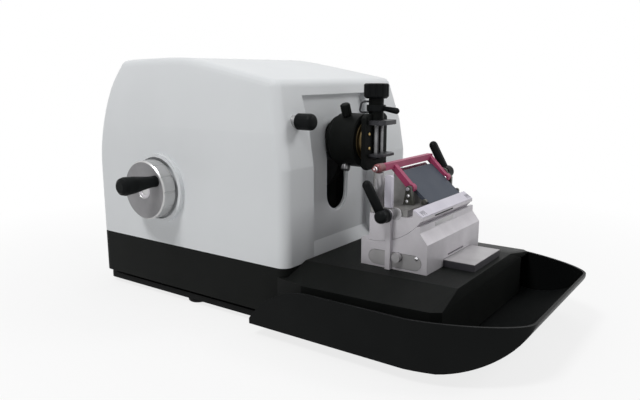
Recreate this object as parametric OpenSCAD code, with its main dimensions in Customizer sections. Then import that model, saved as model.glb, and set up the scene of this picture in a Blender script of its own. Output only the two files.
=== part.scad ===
// Rotary microtome with a disposable-blade holder.
// Millimetres. x runs to the operator's right, y to the back, z up from the bench.
// Pieces are drawn about the specimen head's plane and placed by at_home().

/* [Base] */
// Radius of each rubber foot
foot_r = 13; // [8:0.5:20]
// Height of the feet
foot_h = 6.4; // [4:0.1:12]
// Thickness of the bottom plate
plate_t = 7.3; // [4:0.1:12]
// Height of the slot that the tray's floor slides in
tray_slot_h = 4.3; // [3.6:0.1:8]
// Height of the base casting's side walls
base_h = 55; // [40:1:80]
// Wall of the base casting
base_wall = 8; // [5:0.5:12]
// Rise of the deck above the casting's rim
deck_rise = 3; // [1:0.5:6]
// Drop from the casting's rim to the platform's shoulder
shoulder_drop = 10; // [6:0.5:16]
// Half width of the platform at its shoulder
shoulder_half = 124; // [112:1:132]
// Half width of the deck's flat top
deck_half = 80; // [70:1:95]
// Reach of the platform in front of the cover
platform_len = 182; // [170:1:200]

/* [Cover] */
// From the head's axis to the cover's left wall
cover_left = 120; // [112:1:135]
// From the head's axis to the cover's right wall
cover_right = 153; // [145:1:165]
// Depth of the cover from front to back
cover_depth = 321; // [300:1:350]
// Height of the cover
cover_h = 229.6; // [222:0.2:250]
// Wall of the cover
cover_wall = 4; // [3:0.5:5]
// Radius of the cover's rounded edges
cover_round = 12; // [9:0.5:16]
// Height at which the walls start to lean in
lean_start = 107; // [95:1:115]
// Radius of the lean of the side walls
lean_r = 410; // [300:10:600]
// Half width of the recess in the cover's front
recess_half = 67.5; // [60:0.5:75]
// Height of the recess above the cover's lower edge
recess_h = 186.5; // [178:0.5:190]
// Depth of the recess
recess_d = 13.6; // [10:0.2:16]
// Half width of the head's slot
slot_half = 20.5; // [19:0.5:24]

/* [Waste tray] */
// Half width of the tray over its walls
tray_half = 148; // [142:1:156]
// Reach of the tray in front of the cover
tray_front = 263; // [255:1:275]
// Height of the tray's rim above the bench
tray_rim = 63; // [50:1:66]
// Thickness of the tray's walls and floor
tray_wall = 2.5; // [2:0.1:3.2]
// Half width of the opening that fits round the platform
tray_mouth = 106; // [105:0.5:109]

/* [Coarse wheel] */
// Radius of the coarse wheel
coarse_r = 36; // [28:1:44]
// Thickness of the coarse wheel
coarse_w = 19; // [14:1:26]
// Distance of the coarse wheel's axis behind the cover's front
coarse_y = 198; // [180:1:215]
// Height of the coarse wheel's axis above the casting's rim
coarse_up = 71.3; // [60:0.1:85]
// Radius of the coarse wheel's shaft
coarse_shaft_r = 7; // [5:0.5:9]
// Radius of the circle that the coarse handle rides on
coarse_handle_at = 25.5; // [20:0.5:28]
// Length of the coarse handle
coarse_handle_len = 51; // [35:1:60]
// Radius of the coarse handle at its end
coarse_handle_r = 10.8; // [8:0.2:12]
// Width of the trim ring's band
collar_band = 4.5; // [3:0.5:8]

/* [Drive] */
// Height of the head at the top of its stroke above the deck
head_up = 130; // [126:1:131]
// Radius of the crank, half of the head's stroke
crank_r = 30; // [25:1:31]
// Distance of the main shaft behind the cover's front
shaft_y = 95; // [90:1:98]
// Radius of the main shaft
shaft_r = 10; // [8:0.5:12]
// Radius of the handwheel
wheel_r = 68; // [60:1:70]
// Radius of the circle that the handwheel's grip rides on
grip_at = 52; // [44:1:54]
// Length of the handwheel's grip
grip_len = 56; // [45:1:65]
// Radius of the handwheel's grip
grip_r = 11; // [9:0.5:13]
// Half width of the carriage
carriage_half = 38; // [36:0.5:39]
// Height of the carriage
carriage_h = 60; // [52:1:64]
// Width of a guide rail
rail_w = 12; // [8:0.5:13]
// Depth of a guide rail
rail_d = 8; // [6:0.5:9]
// Radius of the feed cylinder
feed_r = 17; // [14:0.5:18]
// Radius of the feed screw
screw_r = 5; // [4:0.5:7]
// Radius of the ratchet wheel
ratchet_r = 24; // [20:1:26]
// Number of teeth on the ratchet wheel
ratchet_teeth = 40; // [24:1:60]

/* [Specimen head] */
// Radius of the head's disc
disc_r = 31.5; // [29:0.5:33]
// Thickness of the head's disc
disc_t = 34; // [32:1:38]
// Radius of the brass cradle
cradle_r = 24; // [22.5:0.5:25]
// Radius of the vise's ball
ball_r = 19; // [16:0.5:20]
// Radius of the vise's back plate
vise_r = 32; // [30:0.5:34]
// Half width of the vise's back plate
vise_half = 21; // [19:0.5:23]
// Thickness of the vise's back plate
vise_t = 6; // [5:0.5:8]
// Reach of the lower jaw in front of the back plate
jaw_reach = 25; // [18:0.5:25]
// Thickness of a jaw
jaw_t = 5; // [3.5:0.5:6]
// Clear height between the open jaws
jaw_gap = 33.2; // [28:0.2:36]
// Radius of a guide rod
rod_r = 3; // [2:0.1:3.5]
// Radius of the clamping screw
clamp_r = 3.5; // [2.5:0.1:4]
// Radius of the clamping knob
clamp_knob_r = 14.5; // [12:0.5:17]
// Height of the clamping knob
clamp_knob_h = 17; // [12:0.5:22]
// Radius of the neck below the knob
neck_r = 8.75; // [7.5:0.25:9.5]

/* [Knife holder] */
// Height of the blade's edge above the deck
knife_up = 101; // [99:0.5:103]
// Distance of the blade's edge in front of the cover
knife_out = 72.5; // [72:0.5:75]
// Radius of the tilt track about the blade's edge
arc_r = 72.5; // [71:0.5:74]
// Left face of the holder's block from the head's axis
block_left = 58; // [56:0.5:62]
// Right face of the holder's block from the head's axis
block_right = 83; // [80:0.5:86]
// Width of the guide plate on the deck
guide_w = 75; // [60:1:90]
// Thickness of the guide plate
guide_t = 8; // [5:0.5:9]
// Width of the pressure plate
press_w = 81; // [76:0.5:84]
// Thickness of the pressure plate
press_t = 4; // [3:0.25:5]
// Slope of the blade and its pressure plate in degrees
press_slope = 40; // [38:0.5:42]
// Thickness of the blade
blade_t = 0.3; // [0.25:0.05:0.5]
// Section of the finger guard's bar
guard_w = 7; // [6:0.25:7.5]
// Radius of a clamping lever's stick
lever_r = 5.2; // [4:0.2:6]
// Length of a clamping lever's stick
lever_len = 42; // [32:1:50]

/* [Hidden] */
$fn = 48;

// Clearances: between moving flat faces, round a running shaft and round a seated piece
gap = 0.3;
run = 0.05;
seat = 0.05;

// Levels
z_plate = foot_h + plate_t;
z_base = z_plate + tray_slot_h;
z_rim = z_base + base_h;
z_deck = z_rim + deck_rise;
z_shoulder = z_rim - shoulder_drop;
z_head = z_deck + head_up;
z_knife = z_deck + knife_up;
z_coarse = z_rim + coarse_up;
z_shaft = z_head - crank_r;

// Cover: centres of the rounding spheres as [y, z]
cover_top = z_rim + cover_h - cover_round;
cover_path = [[cover_round, z_rim + lean_start], [cover_round + 6, z_rim + lean_start + 39],
    [cover_round + 18.5, cover_top - 24.9], [99, cover_top - 12.1], [cover_depth - 165, cover_top - 2.2],
    [cover_depth - 131, cover_top], [cover_depth - 75, cover_top - 1.1],
    [cover_depth - 45, cover_top - 2.6], [cover_depth - cover_round - 17, cover_top - 33.6],
    [cover_depth - cover_round - 5, cover_top - 84], [cover_depth - cover_round, z_rim + 92]];
function lean(z) = lean_r - sqrt(lean_r * lean_r - pow(max(0, z - z_rim - lean_start), 2));
panel_lean = 10.9;

// Left side
coarse_x = -cover_left - 7;
handle_y = coarse_y + coarse_handle_at * cos(148.5);
handle_z = z_coarse + coarse_handle_at * sin(148.5);
handle_x = coarse_x - coarse_w;
knob_x = -cover_left + 30;
knob_z = z_rim + 159.4;
coarse_bear = -cover_left + 20;

// Right side
wheel_x = cover_right + 5;
wheel_w = 24;
grip_x = wheel_x + wheel_w + gap;
grip_y = shaft_y;
grip_z = z_shaft + grip_at;

// Drive
rail_x = 20;
rail_y = 126;
col_y = rail_y + rail_d;
col_half = 37;
carriage_front = 40;
yoke_t = 12;
crank_x = carriage_half + yoke_t + 4;
crank_t = 12;
house_x0 = crank_x + crank_t + 10;
house_x1 = cover_right - cover_wall - 3;
bear_r = shaft_r + 8;
screw_wheel_y = col_y + 19;

// Head
disc_rear = 6;
disc_front = disc_rear - disc_t;
ball_y = disc_front + 2;
vise_y = ball_y - 9;
vise_front = vise_y - vise_t;
clamp_y = vise_front + 1;
rod_x = 12;
rod_y = vise_front - rod_r - 1;
jaw_top = z_head + 20;
block_top = z_head + vise_r;
neck_top = block_top + 17;
low_jaw_top = jaw_top - jaw_gap;
rods_bottom = low_jaw_top - jaw_t - 0.4;

// Knife holder
knife_y = -knife_out;
block_front = -138;
block_rear = -58;
lip_z = z_knife - 50;
guide_x0 = -17;
slide_top = z_deck + 66.3;
seg_top = slide_top - 7 - gap;
press_left = -16;
press_right = press_left + press_w;
guard_y = -75;
guard_z = z_knife + 6.5;
guard_py = -99;
guard_pz = z_knife - 17;
blade_lever_y = -92;
blade_lever_z = z_knife - 13;
tilt_lever_y = -91.5;
tilt_lever_z = z_deck + 60;
base_clamp_y = -104;
base_clamp_z = z_deck + guide_t + 7;
hinge_s = 52;

// Overall middle, so that the part stands about its own centre
x_min = handle_x - gap - coarse_handle_len;
x_max = grip_x + grip_len;
y_min = -tray_front;
y_max = cover_depth;

module at_home() { translate([-(x_min + x_max) / 2, -(y_min + y_max) / 2, 0]) children(); }

// Building blocks
module box(x0, x1, y0, y1, z0, z1) { translate([x0, y0, z0]) cube([x1 - x0, y1 - y0, z1 - z0]); }
module xcyl(r, x0, x1, y, z) { translate([x0, y, z]) rotate([0, 90, 0]) cylinder(r = r, h = x1 - x0); }
module ycyl(r, y0, y1, x, z) { translate([x, y1, z]) rotate([90, 0, 0]) cylinder(r = r, h = y1 - y0); }
module zcyl(r, z0, z1, x, y) { translate([x, y, z0]) cylinder(r = r, h = z1 - z0); }
// A [y, z] outline drawn out along x
module xprism(x0, x1) { translate([x0, 0, 0]) rotate([90, 0, 90]) linear_extrude(x1 - x0) children(); }
// An outline of [radius, x] turned about an axis along x
module xturn(y, z) { translate([0, y, z]) rotate([0, 90, 0]) rotate_extrude() children(); }
module round_rect(x0, x1, y0, y1, r) {
    translate([x0 + r, y0]) square([x1 - x0 - 2 * r, y1 - y0]);
    translate([x0, y0 + r]) square([x1 - x0, y1 - y0 - 2 * r]);
    for (x = [x0 + r, x1 - r], y = [y0 + r, y1 - r]) translate([x, y]) circle(r);
}
// Points of an arc about [0, c] from angle a0 to a1, as [radius, height]
function arc(c, r, a0, a1, n) = [for (i = [0:n]) let (a = a0 + (a1 - a0) * i / n) [r * cos(a), c + r * sin(a)]];
// An outline of [radius, depth] turned about the head's axis, depth running to the front
module head_turn(y) { translate([0, y, z_head]) rotate([90, 0, 0]) rotate_extrude() children(); }
function bez(p, t) = pow(1 - t, 3) * p[0] + 3 * t * pow(1 - t, 2) * p[1]
    + 3 * t * t * (1 - t) * p[2] + pow(t, 3) * p[3];

// Base
module shoulder_plan(rear) {
    polygon([[-shoulder_half + 4, rear], [-shoulder_half - 4.5, -27], [-shoulder_half - 0.5, -121],
        [-shoulder_half + 4, -platform_len + 10], [-shoulder_half + 11, -platform_len],
        [shoulder_half - 11, -platform_len], [shoulder_half - 4, -platform_len + 10],
        [shoulder_half + 0.5, -121], [shoulder_half + 4.5, -27], [shoulder_half - 4, rear]]);
}
module deck_plan() {
    polygon([[-deck_half - 5, -1], [-deck_half + 3, -151], [-deck_half + 4.5, -platform_len + 1],
        [deck_half - 4.5, -platform_len + 1], [deck_half - 3, -151], [deck_half + 5, -1]]);
}
module base_casting() {
    color("#1b1c1e") difference() {
        union() {
            translate([0, 0, z_base]) linear_extrude(base_h)
                round_rect(-cover_left, cover_right, 0, cover_depth, cover_round);
            translate([0, 0, z_base]) linear_extrude(z_shoulder - z_base) shoulder_plan(12);
            hull() {
                translate([0, 0, z_shoulder - 1]) linear_extrude(1) shoulder_plan(-gap);
                translate([0, 0, z_deck - 0.5]) linear_extrude(0.5) deck_plan();
            }
        }
        for (x = [-1, 1], y = [0, 1])
            box(x > 0 ? 3 : -cover_left + base_wall, x > 0 ? cover_right - base_wall : -3,
                base_wall + y * (cover_depth / 2 - 1), y * (cover_depth / 2 - base_wall) + cover_depth / 2 - 3,
                z_base - 1, z_rim - base_wall);
        for (x = [-1, 0, 1])
            box(x * 72 - 33, x * 72 + 33, -platform_len + base_wall, -6, z_base - 1, z_shoulder - base_wall);
        xcyl(4 + run, cover_right - base_wall - 1, cover_right + 1, 60, z_rim - 23);
    }
}
module bottom_plate() {
    color("#161719") {
        translate([0, 0, foot_h]) linear_extrude(plate_t) {
            round_rect(-cover_left + 4, cover_right - 4, -20, cover_depth - 4, 10);
            round_rect(-cover_left + 4, cover_left - 4, -platform_len + 4, 20, 10);
        }
        translate([0, 0, z_plate]) linear_extrude(tray_slot_h) {
            round_rect(-tray_mouth + 2, cover_right - 16, 12, cover_depth - 16, 6);
            round_rect(-tray_mouth + 2, tray_mouth - 2, -platform_len + 18, 30, 6);
        }
    }
}
module feet() {
    color("#0e0e0f") for (x = [-100, 100], y = [-140, 158]) translate([x, y, 0]) rotate_extrude()
        polygon([[0, 0], [foot_r - 1.5, 0], [foot_r, 1.5], [foot_r - 1, foot_h], [0, foot_h]]);
}

// Waste tray
module tray_plan(w) {
    side = [[tray_half - w, -160], [tray_half - 5 - w, -205], [122 - 0.8 * w, -236 + 0.8 * w],
        [91 - 0.4 * w, -tray_front + w]];
    half = [for (i = [0:10]) bez(side, i / 10)];
    polygon(concat([[tray_half - w, 32]], half,
        [for (i = [10:-1:0]) [-half[i][0], half[i][1]]], [[-tray_half + w, 32]]));
}
module tray_side(w, top) {
    z0 = z_plate + gap + w;
    nose = [[-190, z0], [-222 + 0.4 * w, z0 + 4], [-254 + w, z0 + 22], [-tray_front + w, z0 + 47 - w]];
    polygon(concat([[32, z0]], [for (i = [0:10]) bez(nose, i / 10)], [[-tray_front + w, top], [32, top]]));
}
module waste_tray() {
    color("#202123") difference() {
        intersection() {
            linear_extrude(tray_rim) tray_plan(0);
            xprism(-tray_half - 1, tray_half + 1) tray_side(0, tray_rim);
        }
        intersection() {
            linear_extrude(tray_rim + 9) tray_plan(tray_wall);
            xprism(-tray_half - 1, tray_half + 1) tray_side(tray_wall, tray_rim + 8);
        }
        box(-tray_mouth, tray_mouth, -platform_len + 16, 40, 0, tray_rim + 9);
        difference() {
            box(-tray_half - 1, 0, -50, 40, z_plate + 1, tray_rim + 1);
            xcyl(100, -tray_half - 2, 1, -52, tray_rim - 100);
        }
        difference() {
            box(0, tray_half + 1, -88, 40, z_plate, tray_rim + 1);
            xcyl(100, -1, tray_half + 2, -90, tray_rim - 100);
        }
        box(0, tray_half + 1, -6, 40, 0, tray_rim + 1);
        box(-tray_half - 1, 0, 30, 40, 0, tray_rim + 1);
    }
}

// Cover
module cover_body(r) {
    hull() {
        for (p = cover_path, s = [-1, 1])
            translate([s < 0 ? -cover_left + cover_round + lean(p[1]) : cover_right - cover_round - lean(p[1]),
                p[0], p[1]]) sphere(r, $fn = 28);
        for (x = [-cover_left + cover_round, cover_right - cover_round], y = [cover_round, cover_depth - cover_round])
            translate([x, y, z_rim - 1]) cylinder(r = r, h = 2, $fn = 28);
    }
}
module recess_side(d, up) {
    polygon([[-30, z_rim - 2], [2.8 + d, z_rim - 2], [2.8 + d, z_rim], [recess_d + d, z_rim + 15],
        [recess_d + d, z_rim + lean_start - 7], [recess_d + panel_lean + d, z_rim + recess_h + up],
        [-30, z_rim + recess_h + up]]);
}
module slot(w, y0, y1) {
    ycyl(slot_half + w, y0, y1, 0, z_head - 2 * crank_r - 6);
    box(-slot_half - w, slot_half + w, y0, y1, z_head - 2 * crank_r - 6, z_head + 26 + w);
}
module cover() {
    color("#e9e9ec") difference() {
        union() {
            difference() {
                cover_body(cover_round);
                cover_body(cover_round - cover_wall);
            }
            intersection() {
                cover_body(cover_round - 0.01);
                xprism(-recess_half - cover_wall, recess_half + cover_wall) recess_side(cover_wall, cover_wall);
            }
        }
        xprism(-recess_half, recess_half) recess_side(0, 0);
        box(-cover_left - 9, cover_right + 9, -9, cover_depth + 9, z_rim - 9, z_rim);
        slot(0, 0, recess_d + panel_lean + 12);
        slot(2.5, recess_d - 9, recess_d + 1.2);
        xcyl(coarse_shaft_r + 5, -cover_left - 1, -cover_left + cover_wall + 1, coarse_y, z_coarse);
        xcyl(shaft_r + 6, cover_right - cover_wall - 9, cover_right + 1, shaft_y, z_shaft);
        ycyl(7 + seat, -5, 25, knob_x, knob_z);
    }
}
module wheel_collar() {
    color("#dcdce0") difference() {
        xcyl(coarse_r + 2.5 + collar_band, -cover_left - 6, -cover_left, coarse_y, z_coarse);
        xcyl(coarse_r + 2.5, -cover_left - 7, -cover_left + 1, coarse_y, z_coarse);
    }
}
module knob_bush() {
    color("#9a9a9c") difference() {
        ycyl(7, 5 + gap, 20, knob_x, knob_z);
        ycyl(3.5 + run, 0, 30, knob_x, knob_z);
    }
}

// Drive
module guide_column() {
    color("#6c6f73") difference() {
        union() {
            box(-col_half, col_half, col_y, col_y + 16, z_rim, z_rim + 189);
            box(-col_half - 20, col_half + 20, col_y, col_y + 52, z_rim, z_rim + 12);
            for (x = [-col_half, col_half - 7]) xprism(x, x + 7)
                polygon([[col_y + 15, z_rim + 11], [col_y + 50, z_rim + 11], [col_y + 15, z_rim + 120]]);
            ycyl(3, col_y + 15, screw_wheel_y + 9, 26, z_head + ratchet_r + 10);
        }
        box(-18, 18, col_y - 1, col_y + 17, z_head - 2 * crank_r - 22, z_head + 26);
    }
}
module guide_rails() {
    color("#b9bbbe") for (x = [-rail_x - rail_w, rail_x])
        box(x, x + rail_w, rail_y, col_y, z_rim + 14, z_rim + 184);
}
module bearing_housing() {
    color("#6c6f73") difference() {
        union() {
            box(house_x0, house_x1, shaft_y - 28, shaft_y + 28, z_rim, z_shaft);
            xcyl(28, house_x0, house_x1, shaft_y, z_shaft);
            box(house_x0 - 6, house_x1 - 12, shaft_y - 40, shaft_y + 36, z_rim, z_rim + 10);
        }
        xcyl(bear_r + seat, house_x0 - 1, house_x1 + 1, shaft_y, z_shaft);
    }
}
module shaft_bearings() {
    color("#c2c4c7") for (x = [house_x0 + 2, house_x1 - 14]) difference() {
        xcyl(bear_r, x, x + 12, shaft_y, z_shaft);
        xcyl(shaft_r + run, x - 1, x + 13, shaft_y, z_shaft);
    }
}
module coarse_bearing() {
    color("#6c6f73") difference() {
        union() {
            box(coarse_bear, coarse_bear + 16, coarse_y - 18, coarse_y + 18, z_rim, z_coarse);
            xcyl(18, coarse_bear, coarse_bear + 16, coarse_y, z_coarse);
            box(coarse_bear - 4, coarse_bear + 28, coarse_y - 26, coarse_y + 26, z_rim, z_rim + 8);
        }
        xcyl(coarse_shaft_r + run, coarse_bear - 1, coarse_bear + 17, coarse_y, z_coarse);
    }
}
module guide_plate() {
    color("#b7b4ae") box(guide_x0, guide_x0 + guide_w, -platform_len + 8, block_rear - 2, z_deck, z_deck + guide_t);
}
module coarse_wheel() {
    color("#c9c7c3") difference() {
        xturn(coarse_y, z_coarse) polygon([[0, coarse_x], [coarse_r - 1, coarse_x], [coarse_r, coarse_x - 1],
            [coarse_r, coarse_x - coarse_w + 2], [coarse_r - 2, coarse_x - coarse_w],
            [11, coarse_x - coarse_w], [9, coarse_x - coarse_w + 2], [0, coarse_x - coarse_w + 2]]);
        xcyl(coarse_shaft_r + seat, coarse_x - 10, coarse_x + 1, coarse_y, z_coarse);
        xcyl(3 + seat, handle_x - 1, handle_x + 8, handle_y, handle_z);
        for (a = [0:30:330]) rotate_about_x(a, coarse_y, z_coarse)
            xcyl(1.6, coarse_x - coarse_w - 1, coarse_x + 1, coarse_y, z_coarse + coarse_r + 0.8);
    }
}
module rotate_about_x(a, y, z) { translate([0, y, z]) rotate([a, 0, 0]) translate([0, -y, -z]) children(); }
module coarse_shaft() {
    color("#b0b2b5") union() {
        xcyl(coarse_shaft_r, coarse_x - 9.5, coarse_bear + 60, coarse_y, z_coarse);
        translate([coarse_bear + 44, coarse_y, z_coarse]) rotate([0, 90, 0]) cylinder(r1 = 20, r2 = 12, h = 14);
    }
}
module handle_spindle() {
    color("#b0b2b5") xcyl(3, handle_x - coarse_handle_len + 6, handle_x + 7.5, handle_y, handle_z);
}
module coarse_handle() {
    x0 = handle_x - gap;
    color("#141415") difference() {
        xturn(handle_y, handle_z) polygon([[0, x0], [7, x0], [6.6, x0 - 5], [7.6, x0 - 15],
            [coarse_handle_r - 0.8, x0 - 32], [coarse_handle_r, x0 - coarse_handle_len + 7],
            [coarse_handle_r - 1.2, x0 - coarse_handle_len + 2.5],
            [coarse_handle_r - 4.5, x0 - coarse_handle_len], [0, x0 - coarse_handle_len]]);
        xcyl(3 + run, x0 - coarse_handle_len + 5, x0 + 1, handle_y, handle_z);
    }
}
module handwheel() {
    x = wheel_x;
    color("#26272a") difference() {
        union() {
            xturn(shaft_y, z_shaft) polygon([[0, x], [18, x], [18, x + 6], [wheel_r - 12, x + 8],
                [wheel_r - 11, x + 4], [wheel_r - 3, x + 2], [wheel_r, x + 6], [wheel_r, x + 16],
                [wheel_r - 3, x + 20], [wheel_r - 11, x + 18], [wheel_r - 12, x + 14], [18, x + 16],
                [16, x + wheel_w], [0, x + wheel_w]]);
            xcyl(9, x + 8, x + wheel_w, grip_y, grip_z);
        }
        xcyl(shaft_r + seat, x - 1, x + wheel_w - 5, shaft_y, z_shaft);
        xcyl(4 + seat, x + 12, x + wheel_w + 1, grip_y, grip_z);
        for (a = [60:60:300]) rotate_about_x(a, shaft_y, z_shaft)
            xcyl(8, x, x + wheel_w, shaft_y, z_shaft + wheel_r - 28);
    }
}
module main_shaft() { color("#b0b2b5") xcyl(shaft_r, crank_x + 2, wheel_x + wheel_w - 6, shaft_y, z_shaft); }
module crank_disc() {
    color("#7d8084") union() {
        difference() {
            union() {
                xcyl(crank_r + 8, crank_x, crank_x + crank_t, shaft_y, z_shaft);
                intersection() {
                    xcyl(crank_r + 18, crank_x, crank_x + crank_t, shaft_y, z_shaft);
                    box(crank_x, crank_x + crank_t, shaft_y - 60, shaft_y + 60, z_shaft - 60, z_shaft - 6);
                }
            }
            xcyl(shaft_r + seat, crank_x + 2, crank_x + crank_t + 1, shaft_y, z_shaft);
        }
        xcyl(6, carriage_half + yoke_t + gap, crank_x + 1, shaft_y, z_shaft + crank_r);
    }
}
module grip_spindle() { color("#b0b2b5") xcyl(4, wheel_x + 13, grip_x + grip_len - 6, grip_y, grip_z); }
module handwheel_grip() {
    color("#141415") difference() {
        xturn(grip_y, grip_z) polygon([[0, grip_x], [grip_r - 3, grip_x], [grip_r - 2, grip_x + 8],
            [grip_r, grip_x + 0.6 * grip_len], [grip_r - 1, grip_x + grip_len - 4],
            [grip_r - 4, grip_x + grip_len], [0, grip_x + grip_len]]);
        xcyl(4 + run, grip_x - 1, grip_x + grip_len - 5, grip_y, grip_z);
    }
}
module wheel_lock() {
    x = cover_right + gap;
    color("#141415") {
        xcyl(4, cover_right - base_wall, x + 1, 60, z_rim - 23);
        xcyl(9, x, x + 10, 60, z_rim - 23);
        xprism(x + 2, x + 8) translate([60, z_rim - 23]) rotate(20) translate([0, -5]) square([38, 10]);
    }
}
module vertical_carriage() {
    color("#8f9296") difference() {
        box(-carriage_half, carriage_half, carriage_front, rail_y + 4, z_head - carriage_h / 2, z_head + carriage_h / 2);
        for (x = [-rail_x - rail_w, rail_x])
            box(x - gap, x + rail_w + gap, rail_y - gap, rail_y + 5, z_head - carriage_h, z_head + carriage_h);
        ycyl(feed_r + run, carriage_front - 1, rail_y - 8, 0, z_head);
        ycyl(screw_r + run, rail_y - 9, rail_y + 5, 0, z_head);
    }
}
module yoke_plate() {
    y0 = shaft_y - crank_r - 14;
    y1 = shaft_y + crank_r + 14;
    color("#a3a5a8") difference() {
        box(carriage_half, carriage_half + yoke_t, y0, y1, z_head - 12, z_head + 12);
        box(carriage_half - 1, carriage_half + yoke_t + 1, y0 + 7.5, y1 - 7.5, z_head - 6.5, z_head + 6.5);
    }
}
module feed_cylinder() {
    color("#c4c6c9") difference() {
        ycyl(feed_r, disc_rear, rail_y - 14, 0, z_head);
        ycyl(screw_r + run, 60, rail_y, 0, z_head);
    }
}
module on_ring(a, y) { translate([0, y, z_head]) rotate([0, a, 0]) children(); }
module head_disc() {
    color("#18181a") difference() {
        head_turn(disc_rear) polygon(concat([[0, 0], [disc_r - 1.5, 0], [disc_r, 1.5],
            [disc_r, disc_t - 1.5], [disc_r - 1.5, disc_t]],
            arc(disc_t - 2, cradle_r + gap, asin(2 / (cradle_r + gap)), -90, 12)));
        for (a = [-22, -155]) on_ring(a, -8) translate([0, 0, 21]) cylinder(r = 5 + run, h = disc_r);
    }
}
module feed_screw() {
    color("#b0b2b5") union() {
        ycyl(screw_r, 72, screw_wheel_y + 14, 0, z_head);
        ycyl(screw_r + 4, rail_y + 4 + gap, col_y - 1, 0, z_head);
    }
}
module ratchet_wheel() {
    color("#caa65a") difference() {
        translate([0, screw_wheel_y + 8, z_head]) rotate([90, 0, 0]) linear_extrude(8)
            polygon([for (i = [0:ratchet_teeth - 1], k = [0, 1])
                let (a = 360 * (i + 0.15 * k) / ratchet_teeth, r = ratchet_r - 1.8 * k) [r * cos(a), r * sin(a)]]);
        ycyl(screw_r + seat, screw_wheel_y - 1, screw_wheel_y + 9, 0, z_head);
    }
}
module feed_pawl() {
    z = z_head + ratchet_r + 10;
    color("#8f9296") translate([0, screw_wheel_y + 7, 0]) rotate([90, 0, 0]) linear_extrude(6) difference() {
        union() {
            translate([26, z]) circle(7);
            polygon([[26, z + 7], [2, z - 6], [1, z - 9.2], [5, z - 8.6], [26, z - 7]]);
        }
        translate([26, z]) circle(3 + run);
    }
}
module thickness_knob() {
    color("#141415") difference() {
        translate([knob_x, 5, knob_z]) rotate([90, 0, 0]) rotate_extrude() polygon([[0, 0], [7.5, 0], [9, 1.5],
            [9, 22.5], [7.5, 24], [0, 24]]);
        ycyl(3.5 + seat, -10, 6, knob_x, knob_z);
    }
}
module knob_shaft() {
    color("#b0b2b5") union() {
        ycyl(3.5, -9.5, 70, knob_x, knob_z);
        ycyl(9, 60, 70, knob_x, knob_z);
    }
}

// Specimen head
module orientation_cradle() {
    color("#b08d4a") head_turn(ball_y) polygon(concat(
        arc(0, cradle_r, -asin(14 / cradle_r), asin(2.9 / cradle_r), 10),
        arc(0, ball_r + gap, asin(2.9 / (ball_r + gap)), -asin(14 / (ball_r + gap)), 10)));
}
module orientation_screw(r0, r1) {
    union() {
        translate([0, 0, r0]) cylinder(r = 5, h = r1 - r0 - 1);
        translate([0, 0, r0]) cylinder(r = 4, h = r1 - r0);
    }
}
module upper_screw() { color("#161617") on_ring(-22, -8) orientation_screw(27, 46); }
module lower_screw() { color("#4a4b4d") on_ring(-155, -8) orientation_screw(27, 38); }
module vise_ball() {
    color("#b08d4a") head_turn(ball_y) polygon(concat([[0, -12]],
        arc(0, ball_r, -asin(12 / ball_r), asin((ball_y - vise_y) / ball_r), 12), [[0, ball_y - vise_y]]));
}
module vise_body() {
    color("#161617") difference() {
        union() {
            intersection() {
                ycyl(vise_r, vise_front, vise_y, 0, z_head);
                box(-vise_half, vise_half, vise_front, vise_y, z_head - 40, z_head + 40);
            }
            box(-17, 17, vise_front - 11, vise_y, jaw_top + jaw_t, block_top);
        }
        box(-7, 7, vise_front - 1, vise_y + 1, rods_bottom - 2, jaw_top + jaw_t);
        zcyl(clamp_r + run, jaw_top, block_top + 1, 0, clamp_y);
        for (x = [-rod_x, rod_x]) zcyl(rod_r + seat, jaw_top, block_top - 3, x, rod_y);
    }
}
module upper_jaw() {
    color("#3a3b3d") difference() {
        translate([0, 0, jaw_top]) linear_extrude(jaw_t) polygon([[-18, vise_front], [-18, vise_front - 13],
            [-12, vise_front - jaw_reach + 6], [12, vise_front - jaw_reach + 6], [18, vise_front - 13], [18, vise_front]]);
        zcyl(clamp_r + run, jaw_top - 1, jaw_top + jaw_t + 1, 0, clamp_y);
        for (x = [-rod_x, rod_x]) zcyl(rod_r + seat, jaw_top - 1, jaw_top + jaw_t + 1, x, rod_y);
    }
}
module guide_rods() {
    color("#a7a59f") for (x = [-rod_x, rod_x]) zcyl(rod_r, rods_bottom, block_top - 3.5, x, rod_y);
}
module clamp_neck() {
    color("#161617") difference() {
        zcyl(neck_r, block_top, neck_top, 0, clamp_y);
        zcyl(clamp_r + run, block_top - 1, neck_top + 1, 0, clamp_y);
        clip_wire(0.9 + seat);
    }
}
// A round stick from p towards q with a domed end
module stick(p, q, r) {
    d = q - p;
    l = norm(d);
    translate(p) rotate([0, acos(d[2] / l), atan2(d[1], d[0])]) rotate_extrude() polygon([[0, 0], [r, 0],
        [r, l], [0.87 * r, l + 0.5 * r], [0.5 * r, l + 0.87 * r], [0, l + r]]);
}
module rod_between(p, q, r) {
    d = q - p;
    l = norm(d);
    translate(p) rotate([0, acos(d[2] / l), atan2(d[1], d[0])]) cylinder(r = r, h = l);
}
module clip_wire(r) {
    zc = block_top;
    pts = [[-6.5, clamp_y + 1, zc + 14], [-10, clamp_y + 11, zc + 14], [-17, clamp_y + 6, zc + 2],
        [-6.5, clamp_y + 1, zc + 1.4]];
    for (i = [0:2]) rod_between(pts[i], pts[i + 1], r);
    for (i = [1:2]) translate(pts[i]) sphere(1.2 * r, $fn = 16);
}
module spring_clip() { color("#6f7073") clip_wire(0.9); }
module lower_jaw() {
    z = low_jaw_top;
    color("#3a3b3d") difference() {
        union() {
            box(-19, 19, vise_front - jaw_reach, vise_front - gap, z - 3, z);
            box(-19, 19, vise_front - 12, vise_front - gap, z - jaw_t - 0.5, z);
            box(-6.7, 6.7, vise_front - 1, vise_y - 0.6, z - jaw_t - 0.5, z);
        }
        zcyl(clamp_r + run, z - 9, z + 1, 0, clamp_y);
        for (x = [-rod_x, rod_x]) zcyl(rod_r + run, z - 9, z + 1, x, rod_y);
    }
}
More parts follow.
